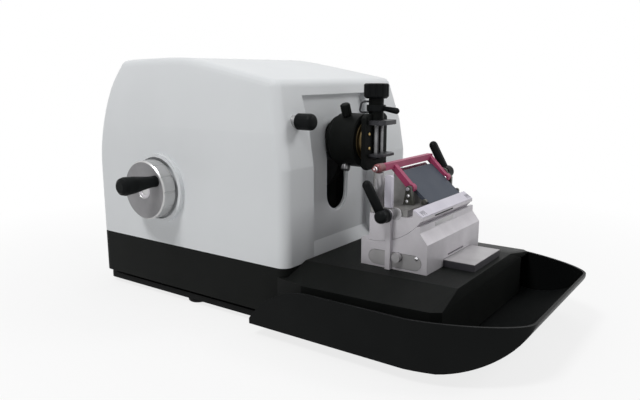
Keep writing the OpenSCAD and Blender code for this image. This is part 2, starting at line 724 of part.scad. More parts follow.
module clamp_screw() { color("#a7a59f") zcyl(clamp_r, rods_bottom, neck_top + 10, 0, clamp_y); }
module clamp_knob() {
    r = clamp_knob_r;
    h = clamp_knob_h;
    color("#141415") difference() {
        translate([0, clamp_y, neck_top + gap]) rotate_extrude()
            polygon([[0, 0], [r - 2.5, 0], [r, 2.5], [r, h - 1.5], [r - 1.5, h], [0, h]]);
        zcyl(clamp_r + seat, neck_top - 1, neck_top + 10.5, 0, clamp_y);
        for (a = [0:30:330]) translate([0, clamp_y, neck_top]) rotate(a) translate([r + 0.7, 0, -1])
            cylinder(r = 1.5, h = h + 3);
    }
}
module clamp_lever() {
    z = block_top;
    color("#141415") difference() {
        union() {
            zcyl(neck_r + 2.4, z + 3, z + 10, 0, clamp_y);
            stick([0, clamp_y - 6, z + 6.7], [0, vise_front - 25.8, z + 4.6], 3.2);
        }
        zcyl(neck_r + run, z + 2, z + 11, 0, clamp_y);
    }
}

// Knife holder
function on_slope(s, h) = [knife_y - s * cos(press_slope) - h * sin(press_slope),
    z_knife - s * sin(press_slope) + h * cos(press_slope)];
module holder_base() {
    color("#c8c4bd") difference() {
        xprism(-block_left, block_right) polygon([[block_front, z_deck + gap], [block_front, z_deck + 32.5],
            [block_front + 9, lip_z - 7], [block_front + 9, lip_z], [block_rear, lip_z], [block_rear, z_deck + gap]]);
        xcyl(arc_r, -block_left - 1, block_right + 1, knife_y, z_knife);
        box(guide_x0 - gap, guide_x0 + guide_w + gap, block_front - 1, block_rear + 1, z_deck, z_deck + guide_t + gap);
        box(-5, 37, block_front - 1, block_front + 4, z_deck + 10, z_deck + 12);
        box(-20, 24, block_front + 8, block_front + 11, lip_z - 5, lip_z - 2);
        insert_shape(0.4, 2, 1);
        xcyl(5 + run, -block_left - 1, block_right + 1, base_clamp_y, base_clamp_z);
    }
}
module insert_shape(w, d, out) {
    hull_y = [-123.5, -76];
    for (y = hull_y) xcyl(8 + w, -block_left - out, -block_left + d, y, z_deck + 11);
    box(-block_left - out, -block_left + d, hull_y[0], hull_y[1], z_deck + 3 - w, z_deck + 19 + w);
}
module side_insert() {
    color("#8d8b87") difference() {
        insert_shape(0, 2, 0);
        xcyl(5 + 0.4, -block_left - 1, -block_left + 3, base_clamp_y, base_clamp_z);
    }
}
module clamp_bar() {
    color("#aaa7a1") difference() {
        union() {
            box(-block_left - 5, -block_left, tilt_lever_y - 5, tilt_lever_y + 5, z_deck + gap, tilt_lever_z + 2);
            xcyl(5, -block_left - 5, -block_left, tilt_lever_y, tilt_lever_z + 2);
        }
        xcyl(4 + run, -block_left - 6, -block_left + 1, tilt_lever_y, tilt_lever_z);
    }
}
module base_clamp() {
    color("#2a2b2d") {
        xcyl(5, -block_left - 6, block_right + 2, base_clamp_y, base_clamp_z);
        xcyl(8, block_right + gap, block_right + 12, base_clamp_y, base_clamp_z);
        stick([block_right + 7, base_clamp_y, base_clamp_z], [block_right + 7, base_clamp_y + 40, base_clamp_z + 6], 4);
    }
}
module lever(x, y, z, ty, tz) {
    u = [0, ty, tz] / norm([0, ty, tz]);
    stick([x, y, z], [x, y, z] + (lever_len - lever_r) * u, lever_r);
}
module tilt_lever() {
    color("#141415") {
        xcyl(8.5, -block_left - 30, -block_left - 12, tilt_lever_y, tilt_lever_z);
        lever(-block_left - 22, tilt_lever_y, tilt_lever_z, 21.5, 36);
        xcyl(4, -block_left - 13, -block_left + 0.1 - gap, tilt_lever_y, tilt_lever_z);
    }
}
module tilt_collar() {
    color("#c9c7c3") difference() {
        xcyl(7.5, -block_left - 12, -block_left - 5 - gap, tilt_lever_y, tilt_lever_z);
        xcyl(4 + seat, -block_left - 14, -block_left, tilt_lever_y, tilt_lever_z);
    }
}
module tilt_segment() {
    color("#c8c4bd") difference() {
        xprism(-block_left + gap, block_right - 8) polygon([[knife_y + 4.5, z_deck + 20],
            [knife_y + 4.5, seg_top], [-120, seg_top], [-120, seg_top + 8.5], [-131, seg_top + 1.5],
            [-131, lip_z + 6], [-131, z_deck + 20]]);
        difference() {
            box(-block_left - 1, block_right + 1, -140, -40, z_deck, lip_z + 6);
            xcyl(arc_r - gap, -block_left - 2, block_right + 2, knife_y, z_knife);
        }
        box(-block_left - 1, block_right + 1, -96.3, -84, seg_top - 5.3, seg_top + 1);
    }
}
module index_strip() {
    color("#dcdad6") xprism(-block_left + 1, block_right - 9) polygon([[-120, seg_top + 8.5],
        [-120.4, seg_top + 9.4], [-131.4, seg_top + 2.4], [-131, seg_top + 1.5]]);
}
module lateral_slide() {
    color("#a9a6a0") union() {
        box(-block_left + 2, 77, -113, knife_y + 4.5, seg_top + gap, slide_top);
        box(-block_left + 2, 77, -96, -84.3, seg_top - 5, seg_top + gap);
    }
}
module blade_support() {
    color("#8e8c88") {
        xprism(press_left + 2, press_right - 2) polygon([on_slope(1.5, 0), on_slope(49, 0),
            [on_slope(49, 0)[0], slide_top], [knife_y + 2.5, slide_top], [knife_y + 2.5, z_knife - 19]]);
        zcyl(3.5, slide_top, guard_z - guard_w / 2 - 0.6, -block_left + 5.5, knife_y - 0.5);
        box(-block_left + 3, -block_left + 7, -93, -85, slide_top, slide_top + 30);
    }
}
module lug(x0, x1, y0, y1, py, pz, r) {
    xprism(x0, x1) {
        translate([y0, slide_top]) square([y1 - y0, pz - slide_top]);
        translate([py, pz]) circle(r);
    }
}
module holder_lugs() {
    hp = on_slope(hinge_s, blade_t + gap + press_t / 2);
    color("#b08d4a") {
        xcyl(2, press_left - 15, press_left - 1, guard_py, guard_pz);
        xcyl(2, press_right + 0.6, press_right + 11, guard_py, guard_pz);
    }
    color("#8e8c88") difference() {
        union() {
            lug(press_left - 14, press_left - 8 - gap, guard_py - 5, guard_py + 5, guard_py, guard_pz, 5);
            lug(press_right + 7.6, press_right + 12, guard_py - 5, blade_lever_y + 6, guard_py, guard_pz, 5);
            xcyl(6.5, press_right + 7.6, press_right + 12, blade_lever_y, blade_lever_z);
            for (x = [press_left - gap - 3.5, press_right + gap])
                lug(x, x + 3.5, -113, hp[0] + 4, hp[0], hp[1], 3);
        }
        xcyl(4 + run, press_right + 7, press_right + 13, blade_lever_y, blade_lever_z);
        xcyl(1.2 + run, press_left - 9, press_right + 9, hp[0], hp[1]);
    }
}
module blade() {
    color("#d5d7da") xprism(press_left, press_right) polygon([on_slope(0.2, 0), on_slope(1.5, blade_t),
        on_slope(14, blade_t), on_slope(14, 0)]);
}
module pressure_plate() {
    h0 = blade_t + gap;
    hp = on_slope(hinge_s, h0 + press_t / 2);
    color("#4c525e") {
        xprism(press_left, press_right) polygon([on_slope(4, h0), on_slope(7.5, h0 + press_t),
            on_slope(57, h0 + press_t), on_slope(53, h0)]);
        xcyl(1.2, press_left - 3.5, press_right + 3.5, hp[0], hp[1]);
    }
}
module finger_guard() {
    h = guard_w / 2;
    dy = guard_y - guard_py;
    dz = guard_z - guard_pz;
    color("#a23a4e") difference() {
        union() {
            box(-block_left + 2, press_right + 7 + gap, guard_y - h, guard_y + h, guard_z - h, guard_z + h);
            xcyl(2.5, -block_left - 4, -block_left + 3, guard_y, guard_z);
            for (x = [press_left - 8, press_right + gap]) xprism(x, x + 7) {
                translate([guard_py, guard_pz]) rotate(atan2(dz, dy)) translate([0, -3.2])
                    square([norm([dy, dz]), 6.4]);
                translate([guard_py, guard_pz]) circle(4.6);
            }
        }
        xcyl(2 + run, press_left - 9, press_right + 9, guard_py, guard_pz);
    }
}
module blade_lever() {
    x = press_right + 12 + gap;
    color("#141415") {
        xcyl(7.5, x, x + 13, blade_lever_y, blade_lever_z);
        lever(x + 6.7, blade_lever_y, blade_lever_z, 21, 36.5);
        xcyl(4, press_right + 7.8, x + 1, blade_lever_y, blade_lever_z);
    }
}

at_home() base_casting();
at_home() bottom_plate();
at_home() feet();
at_home() waste_tray();
at_home() cover();
at_home() wheel_collar();
at_home() knob_bush();
at_home() guide_column();
at_home() guide_rails();
at_home() bearing_housing();
at_home() shaft_bearings();
at_home() coarse_bearing();
at_home() guide_plate();
at_home() coarse_wheel();
at_home() coarse_shaft();
at_home() handle_spindle();
at_home() coarse_handle();
at_home() handwheel();
at_home() main_shaft();
at_home() crank_disc();
at_home() grip_spindle();
at_home() handwheel_grip();
at_home() wheel_lock();
at_home() vertical_carriage();
at_home() yoke_plate();
at_home() feed_cylinder();
at_home() head_disc();
at_home() feed_screw();
at_home() ratchet_wheel();
at_home() feed_pawl();
at_home() thickness_knob();
at_home() knob_shaft();
at_home() orientation_cradle();
at_home() upper_screw();
at_home() lower_screw();
at_home() vise_ball();
at_home() vise_body();
at_home() upper_jaw();
at_home() guide_rods();
at_home() clamp_neck();
at_home() spring_clip();
at_home() lower_jaw();
at_home() clamp_screw();
at_home() clamp_knob();
at_home() clamp_lever();
at_home() holder_base();
at_home() clamp_bar();
at_home() side_insert();
at_home() base_clamp();
at_home() tilt_lever();
at_home() tilt_collar();
at_home() tilt_segment();
at_home() index_strip();
at_home() lateral_slide();
at_home() blade_support();
at_home() holder_lugs();
at_home() blade();
at_home() pressure_plate();
at_home() finger_guard();
at_home() blade_lever();
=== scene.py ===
import bpy, bmesh, math
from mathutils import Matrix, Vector


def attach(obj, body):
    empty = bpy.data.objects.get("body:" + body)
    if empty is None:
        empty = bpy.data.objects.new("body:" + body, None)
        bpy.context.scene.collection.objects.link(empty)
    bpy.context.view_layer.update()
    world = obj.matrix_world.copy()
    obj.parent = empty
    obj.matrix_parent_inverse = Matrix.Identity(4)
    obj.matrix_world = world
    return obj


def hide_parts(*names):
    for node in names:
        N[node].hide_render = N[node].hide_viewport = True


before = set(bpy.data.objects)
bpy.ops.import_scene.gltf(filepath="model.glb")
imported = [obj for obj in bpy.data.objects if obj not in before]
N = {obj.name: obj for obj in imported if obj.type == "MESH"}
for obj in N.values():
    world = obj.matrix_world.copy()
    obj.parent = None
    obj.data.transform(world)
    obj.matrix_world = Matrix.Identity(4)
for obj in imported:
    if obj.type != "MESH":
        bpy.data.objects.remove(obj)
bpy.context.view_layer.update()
scene = bpy.context.scene

# The part's middle: the head's axis and the cover's front lie here in the shared frame
HX, HY = -0.0205, -0.029


def P(x, y, z):
    """A point in millimetres about the head's axis and the cover's front, in the shared frame."""
    return Vector((HX + x / 1000, HY + y / 1000, z / 1000))


# ---------------------------------------------------------------- camera
cam_data = bpy.data.cameras.new("camera")
cam = bpy.data.objects.new("camera", cam_data)
scene.collection.objects.link(cam)
cam.location = P(-640, -416, 284.2)
VIEW_DIRECTION = Vector((0.7990, 0.5687, -0.1963)).normalized()
cam.rotation_euler = VIEW_DIRECTION.to_track_quat("-Z", "Y").to_euler()
cam_data.sensor_width = 36
cam_data.lens = 35.775
cam_data.clip_start = 0.01
scene.camera = cam


# ---------------------------------------------------------------- materials
def nodes_of(m):
    """An empty tree with a shader on its output."""
    m.use_nodes = True
    nt = m.node_tree
    nt.nodes.clear()
    out = nt.nodes.new("ShaderNodeOutputMaterial")
    bsdf = nt.nodes.new("ShaderNodeBsdfPrincipled")
    nt.links.new(bsdf.outputs[0], out.inputs[0])
    return nt, bsdf


def coords(nt, scale=(1, 1, 1)):
    tc = nt.nodes.new("ShaderNodeTexCoord")
    mp = nt.nodes.new("ShaderNodeMapping")
    mp.inputs["Scale"].default_value = scale
    nt.links.new(tc.outputs["Object"], mp.inputs["Vector"])
    return mp.outputs["Vector"]


def noise(nt, vec, scale, detail=3.0, rough=0.5):
    n = nt.nodes.new("ShaderNodeTexNoise")
    n.inputs["Scale"].default_value = scale
    n.inputs["Detail"].default_value = detail
    n.inputs["Roughness"].default_value = rough
    nt.links.new(vec, n.inputs["Vector"])
    return n.outputs["Fac"]


def remap(nt, fac, lo, hi, a=0.3, b=0.7):
    """Takes a factor from the range a to b into the range lo to hi."""
    r = nt.nodes.new("ShaderNodeMapRange")
    r.inputs["From Min"].default_value = a
    r.inputs["From Max"].default_value = b
    r.inputs["To Min"].default_value = lo
    r.inputs["To Max"].default_value = hi
    nt.links.new(fac, r.inputs["Value"])
    return r.outputs["Result"]


def mixc(nt, fac, a, b):
    """A colour between two tones."""
    m = nt.nodes.new("ShaderNodeMix")
    m.data_type = "RGBA"
    nt.links.new(fac, m.inputs["Factor"])
    m.inputs["A"].default_value = (*a, 1)
    m.inputs["B"].default_value = (*b, 1)
    return m.outputs["Result"]


def bump(nt, h, strength, dist):
    b = nt.nodes.new("ShaderNodeBump")
    b.inputs["Strength"].default_value = strength
    b.inputs["Distance"].default_value = dist
    nt.links.new(h, b.inputs["Height"])
    return b.outputs["Normal"]


def surface(name, a, b, rough=(0.3, 0.45), metal=0.0, patch=25, grain=900, bump_s=0.15, bump_d=0.0002,
            stretch=(1, 1, 1), spec=0.5):
    """A painted, moulded or machined surface: two tones in patches, grain in gloss and relief."""
    m = bpy.data.materials.new(name)
    nt, s = nodes_of(m)
    v = coords(nt)
    vs = coords(nt, stretch)
    big = noise(nt, v, patch, 4)
    fine = noise(nt, vs, grain, 2, 0.6)
    nt.links.new(mixc(nt, remap(nt, big, 0, 1), a, b), s.inputs["Base Color"])
    nt.links.new(remap(nt, fine, rough[0], rough[1]), s.inputs["Roughness"])
    nt.links.new(bump(nt, fine, bump_s, bump_d), s.inputs["Normal"])
    s.inputs["Metallic"].default_value = metal
    s.inputs["Specular IOR Level"].default_value = spec
    return m


MASK_WIDTH = 0.0004


def mask(nt, axis, at):
    """1 where the object coordinate along an axis is above a place, in the shared frame's metres."""
    tc = nt.nodes.new("ShaderNodeTexCoord")
    sx = nt.nodes.new("ShaderNodeSeparateXYZ")
    nt.links.new(tc.outputs["Object"], sx.inputs[0])
    return remap(nt, sx.outputs[axis], 0, 1, at - MASK_WIDTH / 2, at + MASK_WIDTH / 2)


def split(name, axis, at, low, high):
    """One finish below a place and another above it, each as two tones, metal and gloss."""
    m = bpy.data.materials.new(name)
    nt, s = nodes_of(m)
    fine = noise(nt, coords(nt), 1100, 2, 0.6)
    big = noise(nt, coords(nt), 40, 4)
    k = mask(nt, axis, at)
    tones = [mixc(nt, remap(nt, big, 0, 1), a, b) for a, b, _, _ in (low, high)]
    mx = nt.nodes.new("ShaderNodeMix")
    mx.data_type = "RGBA"
    nt.links.new(k, mx.inputs["Factor"])
    nt.links.new(tones[0], mx.inputs["A"])
    nt.links.new(tones[1], mx.inputs["B"])
    nt.links.new(mx.outputs["Result"], s.inputs["Base Color"])
    nt.links.new(remap(nt, k, low[2], high[2], 0, 1), s.inputs["Metallic"])
    gloss = nt.nodes.new("ShaderNodeMath")
    gloss.operation = "MULTIPLY_ADD"
    nt.links.new(fine, gloss.inputs[0])
    gloss.inputs[1].default_value = 0.12
    nt.links.new(remap(nt, k, low[3], high[3], 0, 1), gloss.inputs[2])
    nt.links.new(gloss.outputs[0], s.inputs["Roughness"])
    nt.links.new(bump(nt, fine, 0.15, 0.00015), s.inputs["Normal"])
    s.inputs["Specular IOR Level"].default_value = 0.3
    return m


M = {}
M["white"] = surface(
    "cover_paint", (0.79, 0.81, 0.825), (0.755, 0.775, 0.79), (0.32, 0.4), patch=7, grain=1500,
    bump_s=0.05, bump_d=0.0001, spec=0.12)
M["casting"] = surface(
    "black_casting", (0.0060, 0.0068, 0.0064), (0.0088, 0.0096, 0.0090), (0.42, 0.56), patch=18,
    grain=1100, bump_s=0.35, bump_d=0.0003, spec=0.06)
M["plate"] = surface(
    "black_plate", (0.007, 0.0075, 0.0075), (0.011, 0.0115, 0.0115), (0.45, 0.6), patch=30, grain=1200,
    spec=0.05)
M["tray"] = surface(
    "tray_black", (0.0050, 0.0056, 0.0056), (0.0080, 0.0088, 0.0088), (0.30, 0.42), patch=12,
    grain=1600, bump_s=0.12, bump_d=0.0002, spec=0.06)
M["rubber"] = surface(
    "foot_rubber", (0.008, 0.008, 0.008), (0.014, 0.014, 0.014), (0.7, 0.85), patch=60, grain=1400,
    spec=0.2)
M["iron"] = surface(
    "iron_grey", (0.14, 0.15, 0.16), (0.19, 0.195, 0.20), (0.45, 0.6), metal=0.4, patch=40, grain=700,
    bump_s=0.4, bump_d=0.0003)
M["steel"] = surface(
    "ground_steel", (0.52, 0.52, 0.53), (0.62, 0.61, 0.6), (0.22, 0.36), metal=1, patch=50, grain=500,
    stretch=(0.15, 1, 1), bump_s=0.1, bump_d=0.0001)
M["dull"] = surface(
    "dull_steel", (0.16, 0.16, 0.165), (0.24, 0.24, 0.245), (0.34, 0.46), metal=0.9, patch=70,
    grain=900)
M["wheel"] = surface(
    "turned_aluminium", (0.36, 0.355, 0.365), (0.46, 0.455, 0.46), (0.30, 0.42), metal=0.85, patch=35,
    grain=900, stretch=(3, 1, 1), bump_s=0.12, bump_d=0.0001)
M["bright"] = surface(
    "polished_rim", (0.72, 0.72, 0.74), (0.8, 0.8, 0.82), (0.14, 0.22), metal=0.9, patch=60, grain=900,
    stretch=(3, 1, 1))
M["silver"] = surface(
    "machined_silver", (0.56, 0.54, 0.57), (0.64, 0.62, 0.65), (0.36, 0.5), metal=0.3, patch=45,
    grain=800, stretch=(0.2, 1, 1), bump_s=0.15, bump_d=0.0001, spec=0.2)
M["strip"] = surface(
    "index_silver", (0.56, 0.54, 0.61), (0.62, 0.60, 0.67), (0.35, 0.45), metal=0.3, patch=60,
    grain=900, stretch=(0.2, 1, 1))
M["olive"] = surface(
    "olive_plate", (0.045, 0.046, 0.038), (0.11, 0.11, 0.095), (0.3, 0.5), metal=0.5, patch=110,
    grain=800)
M["grey"] = surface(
    "holder_grey", (0.24, 0.238, 0.235), (0.32, 0.315, 0.305), (0.35, 0.5), metal=0.7, patch=60,
    grain=800)
M["post"] = surface(
    "turned_grey", (0.34, 0.335, 0.345), (0.44, 0.43, 0.45), (0.3, 0.42), metal=0.55, patch=60,
    grain=900)
M["head"] = surface(
    "head_black", (0.006, 0.0066, 0.0062), (0.010, 0.011, 0.0105), (0.36, 0.48), patch=40, grain=1300,
    bump_s=0.2, bump_d=0.0002, spec=0.04)
M["jaw"] = surface(
    "blackened_steel", (0.03, 0.03, 0.034), (0.05, 0.05, 0.056), (0.28, 0.42), metal=0.5, patch=60,
    grain=900, stretch=(1, 0.2, 1), spec=0.3)
M["knob"] = surface(
    "knob_black", (0.0055, 0.0062, 0.0064), (0.008, 0.009, 0.0095), (0.34, 0.46), patch=60, grain=1700,
    bump_s=0.25, bump_d=0.00015, spec=0.06)
M["brass"] = surface(
    "satin_brass", (0.40, 0.29, 0.12), (0.50, 0.37, 0.17), (0.28, 0.42), metal=1, patch=60, grain=900)
# Brass darkened all over: painted shade for the orientation cradle and the vise ball, which sit in shade
M["brass_in_painted_shade"] = surface(
    "shaded_brass", (0.11, 0.08, 0.036), (0.17, 0.125, 0.058), (0.4, 0.52), metal=0.8, patch=60,
    grain=900)
M["slate"] = surface(
    "slate_plate", (0.066, 0.077, 0.100), (0.078, 0.089, 0.112), (0.4, 0.52), patch=40, grain=1500,
    bump_s=0.1, bump_d=0.0001, spec=0.1)
M["blade"] = surface(
    "blade_steel", (0.62, 0.63, 0.64), (0.7, 0.7, 0.71), (0.12, 0.2), metal=1, patch=60, grain=700)
# Dark tone for the slot below the index strip: painted shade of the slot's inside
M["mark"] = surface(
    "slot_painted_shade", (0.02, 0.02, 0.022), (0.05, 0.05, 0.055), (0.5, 0.7), patch=200, grain=900,
    spec=0.2)
M["scale"] = surface(
    "engraved_grey", (0.09, 0.088, 0.105), (0.15, 0.145, 0.165), (0.5, 0.7), patch=200, grain=900)
# Finishes of the split pieces: two tones, metal, gloss. SHADE is painted shade, not a finish
DARK = ((0.0085, 0.0092, 0.0088), (0.012, 0.0128, 0.0122), 0.0, 0.4)
SHADE = ((0.035, 0.034, 0.040), (0.055, 0.053, 0.060), 0.1, 0.45)
PALE = ((0.40, 0.39, 0.40), (0.47, 0.46, 0.47), 0.4, 0.36)
NUT = ((0.20, 0.06, 0.07), (0.27, 0.09, 0.09), 0.3, 0.3)
RED = ((0.33, 0.045, 0.115), (0.40, 0.06, 0.14), 0.0, 0.36)
# The guide plate: a pale top over the SHADE tone, which is painted shade on its sides
M["rail"] = split(
    "rail_plate", "Z", 0.0834, SHADE, PALE)
M["clamp"] = split(
    "clamp_bolt", "X", HX - 0.0585, PALE, DARK)
M["guard"] = split(
    "guard_bar", "X", HX - 0.0450, NUT, RED)
M["nut"] = surface(
    "guard_nut_red", NUT[0], NUT[1], (0.3, 0.42), metal=0.3, patch=80, grain=900)
M["insert"] = surface(
    "insert_silver", (0.36, 0.355, 0.36), (0.43, 0.42, 0.425), (0.38, 0.5), metal=0.45, patch=50,
    grain=900, spec=0.4)
# The coarse wheel: a satin face below the place and a polished rim above it; the face's darker tone is also
# painted shade for the face turned away from the lamps
M["turned"] = split(
    "turned_wheel", "X", HX - 0.1456, ((0.25, 0.247, 0.255), (0.31, 0.306, 0.315), 0.3, 0.52),
    ((0.50, 0.50, 0.50), (0.60, 0.60, 0.60), 0.8, 0.28))

DRESS = {
    "white": "cover wheel_collar", "casting": "base_casting", "plate": "bottom_plate", "tray": "waste_tray",
    "rubber": "feet",
    "iron": "guide_column bearing_housing coarse_bearing vertical_carriage crank_disc feed_pawl",
    "steel": "guide_rails shaft_bearings coarse_shaft handle_spindle main_shaft grip_spindle yoke_plate "
             "feed_cylinder feed_screw knob_shaft guide_rods knob_bush",
    "turned": "coarse_wheel", "wheel": "tilt_collar", "dull": "lower_screw", "insert": "side_insert",
    "silver": "holder_base tilt_segment", "rail": "guide_plate", "clamp": "base_clamp",
    "strip": "index_strip",
    "grey": "lateral_slide blade_support", "olive": "holder_lugs clamp_bar",
    "head": "head_disc vise_body clamp_neck upper_screw",
    "jaw": "upper_jaw lower_jaw spring_clip clamp_screw",
    "knob": "coarse_handle handwheel handwheel_grip wheel_lock thickness_knob clamp_knob clamp_lever "
            "tilt_lever blade_lever",
    "brass": "ratchet_wheel", "brass_in_painted_shade": "orientation_cradle vise_ball", "guard": "finger_guard",
    "slate": "pressure_plate", "blade": "blade",
}
# Widths of the rounded edges in metres, where they differ from the usual one; 0 keeps an edge as it is
EDGE = 0.0004
EDGES = {"cover": 0, "blade": 0, "spring_clip": 0, "base_casting": 0.0012, "waste_tray": 0.0008,
         "bottom_plate": 0.001, "holder_base": 0.0005, "tilt_segment": 0.0005, "finger_guard": 0.0006}


def coat(o, mat, edge):
    """Gives an object its material and its soft edges."""
    o.data.materials.clear()
    o.data.materials.append(M[mat])
    for p in o.data.polygons:
        p.use_smooth = True
    if edge:
        b = o.modifiers.new("edge", "BEVEL")
        b.width = edge
        b.segments = 2
        b.limit_method = "ANGLE"
        b.angle_limit = math.radians(32)
        b.harden_normals = True
    else:
        o.modifiers.new("edge", "WEIGHTED_NORMAL").keep_sharp = True


for key, names in DRESS.items():
    for n in names.split():
        coat(N[n], key, EDGES.get(n, EDGE))


# ---------------------------------------------------------------- building blocks
class Shape:
    """Gathers closed shells, in millimetres about the head's axis and the cover's front."""

    def __init__(self):
        self.v, self.f = [], []

    def loops(self, rings):
        """Skins rings of equal length, with a lid on each end."""
        n = len(rings[0])
        o = len(self.v)
        for r in rings:
            self.v += [P(*p) for p in r]
        for i in range(len(rings) - 1):
            for j in range(n):
                a, b = o + i * n + j, o + i * n + (j + 1) % n
                self.f.append((a, b, b + n, a + n))
        self.f.append(tuple(o + j for j in reversed(range(n))))
        self.f.append(tuple(o + (len(rings) - 1) * n + j for j in range(n)))
        return self

    def px(self, pts, x0, x1):
        """A prism on a side view, from x0 to x1."""
        return self.loops([[(x, y, z) for y, z in pts] for x in (x0, x1)])

    def py(self, pts, y0, y1):
        """A prism on a front view, from y0 to y1."""
        return self.loops([[(x, y, z) for x, z in pts] for y in (y0, y1)])

    def pz(self, pts, z0, z1):
        """A prism on a plan, from z0 to z1."""
        return self.loops([[(x, y, z) for x, y in pts] for z in (z0, z1)])

    def box(self, x0, x1, y0, y1, z0, z1):
        return self.pz([(x0, y0), (x1, y0), (x1, y1), (x0, y1)], z0, z1)

    def turn(self, at, along, outline, n=40, flutes=0, deep=0.0):
        """Turns [radius, distance] about an axis; flutes scallop the rim."""
        d = Vector(along).normalized()
        u = d.orthogonal().normalized()
        w = d.cross(u)
        rings = []
        for r, h in outline:
            ring = []
            for j in range(n):
                a = 2 * math.pi * j / n
                q = r - (deep * max(0.0, math.cos(flutes * a)) ** 2 if flutes and r > 4 * deep else 0)
                ring.append(tuple(Vector(at) + d * h + q * (math.cos(a) * u + math.sin(a) * w)))
            rings.append(ring)
        return self.loops(rings)

    def stick(self, a, b, r0, r1):
        """A tapered stick with a domed end."""
        a, b = Vector(a), Vector(b)
        length = (b - a).length
        out = [(r0, 0), (r1, length)]
        out += [(r1 * math.cos(t), length + r1 * math.sin(t)) for t in (0.35, 0.75, 1.1, 1.4)]
        return self.turn(a, b - a, out, 24)

    def make(self, name, mat, body, slot, edge=EDGE, stands_for=()):
        me = bpy.data.meshes.new(name)
        me.from_pydata(self.v, [], self.f)
        bm = bmesh.new()
        bm.from_mesh(me)
        bmesh.ops.remove_doubles(bm, verts=bm.verts, dist=1e-7)
        bmesh.ops.recalc_face_normals(bm, faces=bm.faces)
        bm.to_mesh(me)
        bm.free()
        return dress(bpy.data.objects.new(name, me), mat, body, edge, stands_for)


def dress(o, mat, body, edge, stands_for=()):
    """Finishes a piece, ties it to its body and hides the nodes it stands for."""
    if o.name not in scene.collection.objects:
        scene.collection.objects.link(o)
    coat(o, mat, edge)
    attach(o, body)
    if stands_for:
        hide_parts(*stands_for)
    return o


def solid(shape):
    """A shape as an object, for use in a cut."""
    me = bpy.data.meshes.new("tool")
    me.from_pydata(shape.v, [], shape.f)
    bm = bmesh.new()
    bm.from_mesh(me)
    bmesh.ops.recalc_face_normals(bm, faces=bm.faces)
    bm.to_mesh(me)
    bm.free()
    o = bpy.data.objects.new("tool", me)
    scene.collection.objects.link(o)
    return o


def combine(name, base, steps):
    """Joins, cuts or meets solids in turn and keeps the result as one mesh."""
    o = solid(base)
    for op, shape in steps:
        t = shape if isinstance(shape, bpy.types.Object) else solid(shape)
        m = o.modifiers.new("cut", "BOOLEAN")
        m.operation = op
        m.solver = "EXACT"
        m.object = t
        deps = bpy.context.evaluated_depsgraph_get()
        me = bpy.data.meshes.new_from_object(o.evaluated_get(deps))
        o.modifiers.clear()
        o.data = me
        bpy.data.objects.remove(t)
    o.name = name
    o.data.name = name
    return o


def bez(p, t):
    """A point of a cubic Bezier curve."""
    share = ((1 - t) ** 3, 3 * t * (1 - t) ** 2, 3 * t * t * (1 - t), t ** 3)
    return tuple(sum(w * q[i] for w, q in zip(share, p)) for i in range(2))


def round_points(y, z, r, angles):
    """Points of a circle at angles in radians."""
    return [(y + r * math.cos(t), z + r * math.sin(t)) for t in angles]


# The places of the main axes, in millimetres
RIM, HEAD, CRANK = 73, 206, 30
COARSE_Y, COARSE_Z = 198, 144.3
SHAFT_Y, SHAFT_Z = 95, 176
KNOB_X, KNOB_Z = -90, 232.4
LEVER_Y, LEVER_Z = -91.5, 136
PIVOT_Y, PIVOT_Z = -99, 160
GUARD_Y, GUARD_Z = -75, 183.5
LEFT, RIGHT, FRONT, BACK = (-1, 0, 0), (1, 0, 0), (0, -1, 0), (0, 1, 0)
UP = (0, 0, 1)

# ---------------------------------------------------------------- waste tray
TRAY_HALF, TRAY_TOP, TRAY_FRONT, TRAY_WALL = 148, 63, -263, 2.5


def tray_plan(w):
    """The tray from above, drawn in by w."""
    front = TRAY_FRONT + w
    side = [(TRAY_HALF - w, -160), (143 - w, -200), (112 - 0.8 * w, front), (88 - 0.4 * w, front)]
    half = [bez(side, i / 14) for i in range(15)]
    return [(TRAY_HALF - w, 32)] + half + [(-x, y) for x, y in reversed(half)] + [(-TRAY_HALF + w, 32)]


def tray_side(w, top):
    """The tray from the side, drawn in by w and cut off at the top."""
    z0 = 14 + w
    nose = [(-190, z0), (-222 + 0.4 * w, z0 + 4), (-254 + w, z0 + 22), (TRAY_FRONT + w, z0 + 47 - w)]
    return [(32, z0)] + [bez(nose, i / 14) for i in range(15)] + [(TRAY_FRONT + w, top), (32, top)]


def tray_body(w, top):
    side = Shape().px(tray_side(w, top - 0.01 * w), -149, 149)
    return combine("body", Shape().pz(tray_plan(w), 0, top), [("INTERSECT", side)])


def hump(x0, x1, y):
    """What is cut from the rear of a side wall: all behind an arc that rises to the rim."""
    r, low = 100, 14.7
    turns = [i * math.pi / 40 for i in range(21)]
    arc = [(y + r * math.sin(a), TRAY_TOP - r + r * math.cos(a)) for a in turns]
    arc = [p for p in arc if p[1] > low]
    return Shape().px([(y, TRAY_TOP + 1)] + arc + [(y + r, low), (y + r, TRAY_TOP + 1)], x0, x1)


# ---------------------------------------------------------------- cover
COVER_ROUND, COVER_WALL = 12, 4
COVER_X = (-108, 141)
LEAN_START, LEAN_R = RIM + 107, 410
TOP = RIM + 217.6


def lean(z):
    """How far a side wall has come in at a height."""
    return LEAN_R - math.sqrt(LEAN_R ** 2 - max(0, z - LEAN_START) ** 2)


def curve(marks, before, after, parts):
    """A Catmull-Rom curve through the marks, without the last one."""
    q = [before] + marks + [after]
    out = []
    for i in range(len(marks) - 1):
        for t in [k / parts for k in range(parts)]:
            out.append(tuple(
                b + t / 2 * (c - a + t * (2 * a - 5 * b + 4 * c - d + t * (3 * (b - c) + d - a)))
                for a, b, c, d in zip(*q[i:i + 4])))
    return out


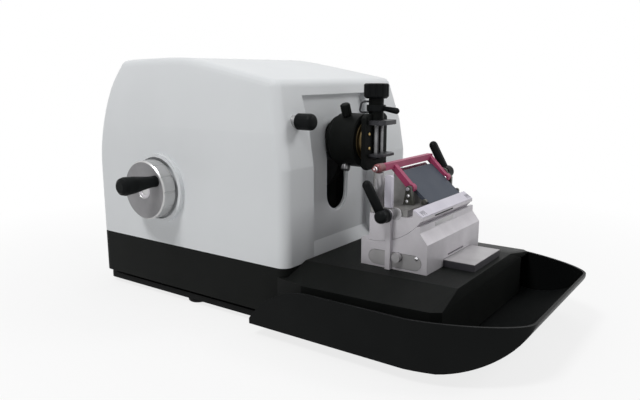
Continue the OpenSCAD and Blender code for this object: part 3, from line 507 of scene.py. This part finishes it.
# Centres of the rounding spheres as (y, z): the front, the crest and the rear
NOSE = [(12, LEAN_START), (18, RIM + 146), (30.5, TOP - 24.9)]
CREST = [(99, TOP - 12.1), (156, TOP - 2.2), (190, TOP), (246, TOP - 1.1), (276, TOP - 2.6)]
REAR = [(276, TOP - 2.6), (292, TOP - 33.6), (304, TOP - 84), (309, RIM + 92)]
PATH = NOSE + curve(CREST, NOSE[-1], (306, TOP - 6), 3) + curve(REAR, (262, TOP + 18), (309, RIM + 20), 4)
PATH.append(REAR[-1])


def cover_body(r):
    """The skin round spheres on the curve of the cover's two ends."""
    around = [math.tau * j / 28 for j in range(28)]
    points = []
    for y, z in PATH:
        for x in (COVER_X[0] + lean(z), COVER_X[1] - lean(z)):
            for u in [math.pi * i / 14 for i in range(1, 14)]:
                q = r * math.sin(u)
                points += [(x + q * math.cos(w), y + q * math.sin(w), z + r * math.cos(u)) for w in around]
    for x in COVER_X:
        for y in (NOSE[0][0], REAR[-1][0]):
            for z in (RIM - 1, RIM + 1):
                points += [(x + r * math.cos(w), y + r * math.sin(w), z) for w in around]
    bm = bmesh.new()
    for p in points:
        bm.verts.new(P(*p))
    bmesh.ops.convex_hull(bm, input=bm.verts[:])
    bmesh.ops.delete(bm, geom=[v for v in bm.verts if not v.link_faces], context="VERTS")
    bmesh.ops.dissolve_limit(bm, angle_limit=0.0005, verts=bm.verts[:], edges=bm.edges[:])
    bm.verts.index_update()
    s = Shape()
    s.v = [tuple(v.co) for v in bm.verts]
    s.f = [tuple(v.index for v in f.verts) for f in bm.faces]
    bm.free()
    return s


def recess(half, d, up):
    """The recess of the front panel, d deeper and up higher."""
    top = RIM + 186.5 + up
    return Shape().px([(-30, RIM - 2), (2.8 + d, RIM - 2), (2.8 + d, RIM), (13.6 + d, RIM + 15),
                       (13.6 + d, RIM + 100), (24.5 + d, top), (-30, top)], -half, half)


def slot(w, y0, y1):
    """The slot in the panel, w wider on each side."""
    low, r = HEAD - 2 * CRANK - 6, 20.5 + w
    arc = round_points(0, low, r, [math.pi * (1 + k / 24) for k in range(25)])
    return Shape().py(arc + [(r, HEAD + 26 + w), (-r, HEAD + 26 + w)], y0, y1)


RECESS_HALF = 67.5
panel_wall = recess(RECESS_HALF + COVER_WALL, COVER_WALL, COVER_WALL)
cover = combine("cover_skin", cover_body(COVER_ROUND), [
    ("DIFFERENCE", cover_body(COVER_ROUND - COVER_WALL)),
    ("UNION", combine("inner", cover_body(COVER_ROUND - 0.01), [("INTERSECT", panel_wall)])),
    ("DIFFERENCE", recess(RECESS_HALF, 0, 0)),
    ("DIFFERENCE", Shape().box(-129, 162, -9, 330, RIM - 9, RIM)),
    ("DIFFERENCE", slot(0, 0, 36.5)),
    ("DIFFERENCE", slot(2.5, 4.6, 14.8)),
    ("DIFFERENCE", Shape().turn((-121, COARSE_Y, COARSE_Z), RIGHT, [(12, 0), (12, 6)])),
    ("DIFFERENCE", Shape().turn((140, SHAFT_Y, SHAFT_Z), RIGHT, [(16, 0), (16, 14)])),
    ("DIFFERENCE", Shape().turn((KNOB_X, -5, KNOB_Z), BACK, [(7.05, 0), (7.05, 30)])),
])
cover.data.set_sharp_from_angle(angle=math.radians(28))
dress(cover, "white", "frame", 0, ["cover"])

# ---------------------------------------------------------------- tray and platform
tray = combine("tray_shell", Shape().pz(tray_plan(0), 0, TRAY_TOP), [
    ("INTERSECT", Shape().px(tray_side(0, TRAY_TOP + 0.01), -149, 149)),
    ("DIFFERENCE", tray_body(TRAY_WALL, 72)),
    ("DIFFERENCE", Shape().box(-106, 106, -166, 40, 0, 72)),
    ("DIFFERENCE", hump(-149, -1, -52)),
    ("DIFFERENCE", hump(1, 149, -90)),
    ("DIFFERENCE", Shape().box(0.5, 149, -6, 40, 0, 64)),
    ("DIFFERENCE", Shape().box(-149, 0.5, 30, 40, 0, 64)),
])
dress(tray, "tray", "tray", 0.0009, ["waste_tray"])

# The platform's shoulder on the right reaches out over the tray's side
rings = []
for y, deck, out in ((-1, 84.4, 143), (-151, 77.2, 143), (-176, 75.8, 143), (-181.5, 75.6, 138)):
    rings.append([(deck - 2, y, 75.9), (deck, y, 76.05), (out - 1, y, 64.9), (out, y, 64.2),
                  (out, y, 61.5), (120, y, 61.5)])
Shape().loops(rings).make("platform_shoulder", "casting", "frame", "black_casting", 0.0005)

# ---------------------------------------------------------------- specimen head
Shape().turn((0, 5.9, HEAD), BACK, [(28, 0), (28, 5.6), (27.3, 6.3), (0.1, 6.3)]).make(
    "head_collar", "head", "feed", "head_black")
# The vise's back plate: a rectangle whose corners follow a circle
PLATE_R, PLATE_HALF, PLATE_UP = 37, 24.5, 32
a0, a1 = math.acos(PLATE_HALF / PLATE_R), math.asin(PLATE_UP / PLATE_R)
plate = []
for sx, sz in ((1, 1), (-1, 1), (-1, -1), (1, -1)):
    a = [a0 + (a1 - a0) * i / 5 for i in range(6)]
    if sx * sz < 0:
        a.reverse()
    plate += [(sx * PLATE_R * math.cos(t), HEAD + sz * PLATE_R * math.sin(t)) for t in a]
vp = combine("vise_plate", Shape().py(plate, -41, -35), [
    ("DIFFERENCE", Shape().box(-7, 7, -42, -34, 185.4, 231))])
dress(vp, "head", "vise", 0.0007, ["vise_body"])
foot = round_points(0, -40, 8.75, [math.radians(t) for t in range(153, 388, 9)])
Shape().pz(foot, 230.8, 238.2).make("neck_foot", "head", "vise", "head_black")
rods = Shape()
for x in (-6.7, 6.7):
    rods.turn((x, -43.6, 187.4), UP, [(1.8, 0), (2.3, 0.5), (2.3, 43)], 24)
rods.make("jaw_rods", "dull", "vise", "ground_steel", 0, ["guide_rods"])
lj = Shape()
lj.pz([(-18, -41.3), (-18, -52), (-12, -58), (12, -58), (18, -52), (18, -41.3)], 189.8, 192.8)
lj.px([(-41.3, 187.3), (-47, 187.3), (-54, 189.9), (-41.3, 189.9)], -14, 14)
lj.box(-6.7, 6.7, -41.4, -35.6, 187.3, 192.8)
lj.make("low_jaw", "jaw", "jaw", "jaw_dark", 0.0004, ["lower_jaw"])
scr = Shape()
for z in (215.5, 199):
    scr.turn((-16.4, -40.9, z), FRONT, [(2.1, 0), (2.1, 0.8), (1.6, 1.2), (0.1, 1.3)], 20)
scr.make("plate_screws", "brass", "vise", "brass", 0)
# The spring clip's bent wire
BENDS = [(-2.9, -35.9, 251.8), (-7.6, -29.2, 251.8), (-9.2, -27.0, 251.0), (-9.9, -26.0, 249.4),
         (-10.8, -24.7, 242.0), (-10.6, -25.2, 240.2), (-9.2, -27.2, 239.6), (-2.9, -35.9, 239.6)]
WIRE_R = 1.1
u = Vector((0.815, 0.58, 0))
rings = []
for i, p in enumerate(BENDS):
    d = (Vector(BENDS[min(len(BENDS) - 1, i + 1)]) - Vector(BENDS[max(0, i - 1)])).normalized()
    w = d.cross(u).normalized()
    turns = [2 * math.pi * j / 12 for j in range(12)]
    rings.append([tuple(Vector(p) + WIRE_R * (math.cos(t) * u + math.sin(t) * w)) for t in turns])
Shape().loops(rings).make("clip_wire", "jaw", "vise", "jaw_dark", 0, ["spring_clip"])
cl = Shape()
cl.turn((0, -40, 241), UP, [(9.0, 0), (10.7, 0), (11.15, 0.5), (11.15, 6.5), (10.7, 7), (9.0, 7)])
cl.stick((0, -47.5, 244.4), (0, -66.4, 241.8), 2.6, 3.6)
cl.make("swing_lever", "knob", "vise_lever", "knob_black", 0, ["clamp_lever"])


def panel(z):
    """How deep the recess is at a height."""
    return 13.6 + 10.9 * max(0.0, z - 173) / 86.5


# The slot's rounded upper end, flush with the leaning panel
corner = Shape()
for side in (-1, 1):
    turns = [i * math.pi / 32 for i in range(17)]
    arc = [(side * 20.6 * math.cos(t), HEAD + 20.6 * math.sin(t)) for t in turns]
    pts = arc + [(0, 232.3), (side * 20.8, 232.3)]
    corner.loops([[(x, panel(z) + d, z) for x, z in pts] for d in (0.0, 3.6)])
corner.make("slot_head", "white", "frame", "white_paint", 0)
# Orientation knobs, fluted
for ang, top, rad, name, mat, place, node, body in (
        (-22, 46, 5.9, "knob_upper", "head", "head_black", "upper_screw", "side_screw"),
        (-155, 38.4, 5.6, "knob_lower", "dull", "ground_steel", "lower_screw", "low_screw")):
    t = math.radians(ang)
    profile = [(4.9, 27), (4.9, 32.6), (rad, 33), (rad, top - 1.2), (rad - 1.1, top), (0.1, top)]
    Shape().turn((0, -8, HEAD), (math.sin(t), 0, math.cos(t)), profile, 48, 8, 0.5).make(
        name, mat, body, place, 0, [node])
# Thickness knob
profile = [(3.6, -0.4), (7.4, 0), (9, 1.4), (9.1, 17), (8.6, 19.3), (7.4, 21), (5.4, 22.1), (2.5, 22.6),
           (0.1, 22.7)]
Shape().turn((KNOB_X, 5, KNOB_Z), FRONT, profile, 72, 18, 0.25).make(
    "thickness_grip", "knob", "thickness", "knob_black", 0, ["thickness_knob"])

# ---------------------------------------------------------------- coarse wheel
profile = [(10.9, 0), (10.9, 0.3), (9.4, 1.9), (7.2, 1.9), (6.2, 0.3), (6.2, 0)]
Shape().turn((-143.9, COARSE_Y, COARSE_Z), LEFT, profile, 48).make(
    "wheel_eye", "silver", "coarse_drive", "wheel_silver", 0)

# ---------------------------------------------------------------- knife holder
at = (0, LEVER_Y, LEVER_Z)
hub = Shape()
hub.turn(at, LEFT, [(7.3, 66.4), (7.3, 74.5), (6.8, 76.6), (5.6, 78), (3.4, 78.9), (0.1, 79.1)], 36)
hub.stick((-71.8, LEVER_Y, LEVER_Z), (-71.8, LEVER_Y + 36.8 * 0.5127, LEVER_Z + 36.8 * 0.8585), 5.2, 5.2)
hub.turn(at, LEFT, [(4, 58.3), (4, 67)], 24)
hub.make("tilt_handle", "knob", "tilt_lock", "knob_black", 0, ["tilt_lever"])
profile = [(4.1, 63.3), (7.4, 63.3), (7.9, 63.8), (7.9, 66), (7.4, 66.4), (4.1, 66.4)]
Shape().turn(at, LEFT, profile, 40).make(
    "tilt_washer", "jaw", "tilt_lock", "wheel_silver", 0, ["tilt_collar"])
bar = Shape()
bar.box(-63, -58, -96.8, -90.6, 76.3, 132)
bar.turn(at, LEFT, [(6, 58), (6, 63)], 32)
bar.make("slim_bar", "silver", "holder", "holder_silver", 0.0003, ["clamp_bar"])
profile = [(5.9, 0), (5.9, 30), (5.3, 30.6), (5.3, 35.8), (4.6, 36.3), (0.1, 36.3)]
Shape().turn((-50.5, -75, 142.3), UP, profile).make("edge_post", "post", "lateral", "holder_grey", 0)
profile = [(-93.4, 142.4), (-93.4, 176), (-91.6, 177.6), (-86.4, 177.6), (-84.6, 176), (-84.6, 142.4)]
Shape().px(profile, -55.4, -50.8).make("side_strip", "strip", "lateral", "holder_silver", 0.0003)
at = (0, GUARD_Y, GUARD_Z)
Shape().turn(at, LEFT, [(5.0, 45), (5.0, 55), (4.4, 56.4), (2.7, 56.8)], 36).make(
    "guard_nut", "nut", "guard", "guard_red", 0)
Shape().turn(at, LEFT, [(2.9, 56.2), (2.9, 60.8), (2.3, 61.8), (0.1, 62.2)], 24).make(
    "guard_pin", "bright", "guard", "holder_silver", 0)
Shape().turn((0, -100, 137.2), LEFT, [(7, 56.2), (7, 57.4), (6.6, 57.8), (0.1, 57.8)]).make(
    "segment_boss", "wheel", "tilt", "holder_silver", 0)
# Scale marks near both ends of the index strip, and below it a slot and a screw hole drawn as dark sheets:
# painted shade of their insides
marks = Shape()


def on_strip(t, h):
    """A point above the strip's face: t runs from its rear edge to its front edge."""
    return (-120.4 - 11.0 * t - 0.537 * h, 144.4 - 7.0 * t + 0.844 * h)


for x0 in (-52, 64):
    for i in range(5):
        x = x0 + 2.0 * i
        t0, t1 = 0.38, (0.86 if i % 2 == 0 else 0.66)
        corners = [on_strip(t0, -0.2), on_strip(t1, -0.2), on_strip(t1, 0.12), on_strip(t0, 0.12)]
        marks.px(corners, x, x + 0.7)
marks.make("index_marks", "scale", "tilt", "holder_silver", 0)
Shape().box(-21, 25, -129.25, -128.8, 121.4, 125.6).make("lip_plate", "wheel", "holder", "holder_silver", 0)
# The slot and its screw hole are thin dark sheets on the band: painted shade, not cut openings
low = Shape()
low.box(-27, 19, -131.25, -130.6, 133.6, 135.1)
low.turn((-1.5, -131.0, 134.2), FRONT, [(0.1, 0), (0.1, 0.1)], 8)
low.make("band_slot", "mark", "tilt", "holder_silver", 0)
bolts = Shape()
for y, z in ((-99.5, 152.5), (-98.0, 146.0)):
    bolts.turn((-29.1, y, z), LEFT, [(1.9, 0), (1.9, 0.9), (1.3, 1.3), (0.1, 1.4)], 18)
bolts.make("lug_screws", "bright", "lateral", "holder_silver", 0)
# Cheeks that carry the guard, the blade lever and the pressure plate's hinge
ck = Shape()
tip = round_points(PIVOT_Y, PIVOT_Z, 3.4, [math.radians(-20 + 22 * i) for i in range(11)])
ck.px([(-106, 142.4), (-93, 142.4), (-94.5, 150)] + tip + [(-104, 150)], -29.2, -24.4)
ck.px([(-104, 142.4), (-86, 142.4), (-86, 160), (-99, 165), (-104, 160)], 72.6, 77)
ck.turn((0, -92, 164), RIGHT, [(6.5, 72.6), (6.5, 77)], 32)
eye = round_points(-114, 145.6, 3, [math.pi * i / 10 for i in range(20)])
for x in (-19.8, 65.3):
    ck.px(eye, x, x + 3.5)
    ck.box(x, x + 3.5, -113, -110, 142.4, 146)
ck.make("cheeks", "olive", "lateral", "holder_grey", 0.0003, ["holder_lugs"])
pv = Shape()
pv.turn((0, PIVOT_Y, PIVOT_Z), RIGHT, [(1.9, -31), (2.0, -30.6), (2.0, -17)], 20)
pv.turn((0, PIVOT_Y, PIVOT_Z), RIGHT, [(2.0, 65.6), (2.0, 76)], 20)
pv.make("guard_pivots", "bright", "lateral", "brass", 0)
# The screw that holds the side insert
Shape().turn((-57.8, -126, 92.5), LEFT, [(2.2, 0), (2.2, 0.8), (1.7, 1.2), (0.1, 1.3)], 20).make(
    "insert_screws", "bright", "holder", "holder_silver", 0)

# ---------------------------------------------------------------- surroundings
def seen(nt):
    """1 for what the camera, a reflection or a look through glass sees."""
    lp = nt.nodes.new("ShaderNodeLightPath")
    a = nt.nodes.new("ShaderNodeMath")
    a.operation = "ADD"
    b = nt.nodes.new("ShaderNodeMath")
    b.operation = "ADD"
    b.use_clamp = True
    nt.links.new(lp.outputs["Is Camera Ray"], a.inputs[0])
    nt.links.new(lp.outputs["Is Glossy Ray"], a.inputs[1])
    nt.links.new(a.outputs[0], b.inputs[0])
    nt.links.new(lp.outputs["Is Transmission Ray"], b.inputs[1])
    return b.outputs[0]


def floor_material():
    """White paper: the shadow stays near the object and fades out into white."""
    m = bpy.data.materials.new("floor_white")
    m.use_nodes = True
    nt = m.node_tree
    nt.nodes.clear()
    out = nt.nodes.new("ShaderNodeOutputMaterial")
    d = nt.nodes.new("ShaderNodeBsdfDiffuse")
    d.inputs[0].default_value = (0.86, 0.86, 0.86, 1)
    e = nt.nodes.new("ShaderNodeEmission")
    e.inputs["Color"].default_value = (1, 1, 1, 1)
    e.inputs["Strength"].default_value = 1.0
    tc = nt.nodes.new("ShaderNodeTexCoord")
    far = nt.nodes.new("ShaderNodeVectorMath")
    far.operation = "LENGTH"
    nt.links.new(tc.outputs["Object"], far.inputs[0])
    k = remap(nt, far.outputs["Value"], 0.8, 1.0, 0.3, 0.8)
    mul = nt.nodes.new("ShaderNodeMath")
    mul.operation = "MULTIPLY"
    nt.links.new(k, mul.inputs[0])
    nt.links.new(seen(nt), mul.inputs[1])
    mx = nt.nodes.new("ShaderNodeMixShader")
    nt.links.new(mul.outputs[0], mx.inputs[0])
    nt.links.new(d.outputs[0], mx.inputs[1])
    nt.links.new(e.outputs[0], mx.inputs[2])
    nt.links.new(mx.outputs[0], out.inputs[0])
    return m


FLOOR_HALF = 6
bm = bmesh.new()
bmesh.ops.create_grid(bm, x_segments=2, y_segments=2, size=FLOOR_HALF)
me = bpy.data.meshes.new("floor")
bm.to_mesh(me)
bm.free()
floor = bpy.data.objects.new("floor", me)
scene.collection.objects.link(floor)
floor.data.materials.append(floor_material())

SKY_LIGHT = 0.26
world = bpy.data.worlds.new("studio")
scene.world = world
world.use_nodes = True
wt = world.node_tree
wt.nodes.clear()
wo = wt.nodes.new("ShaderNodeOutputWorld")
bg = wt.nodes.new("ShaderNodeBackground")
bg.inputs["Color"].default_value = (1, 1, 1, 1)
bg.inputs["Strength"].default_value = SKY_LIGHT
bc = wt.nodes.new("ShaderNodeBackground")
bc.inputs["Color"].default_value = (1, 1, 1, 1)
bc.inputs["Strength"].default_value = 1.0
mx = wt.nodes.new("ShaderNodeMixShader")
wt.links.new(seen(wt), mx.inputs[0])
wt.links.new(bg.outputs[0], mx.inputs[1])
wt.links.new(bc.outputs[0], mx.inputs[2])
wt.links.new(mx.outputs[0], wo.inputs[0])


def area(name, loc, target, size, power):
    """A square lamp, turned to a point."""
    d = bpy.data.lights.new(name, "AREA")
    d.shape = "RECTANGLE"
    d.size, d.size_y = size
    d.energy = power
    o = bpy.data.objects.new(name, d)
    scene.collection.objects.link(o)
    o.location = loc
    o.rotation_euler = (Vector(target) - Vector(loc)).to_track_quat("-Z", "Y").to_euler()


area("key", (-1.2, 0.08, 1.75), (0, 0.05, 0.12), (0.4, 0.4), 17)
area("top", (0.35, 0.15, 1.9), (0, 0, 0.15), (1.3, 1.3), 4.5)
area("front", (0.9, -1.3, 1.35), (0, 0, 0.15), (0.6, 0.6), 9.5)

scene.view_settings.view_transform = "Standard"
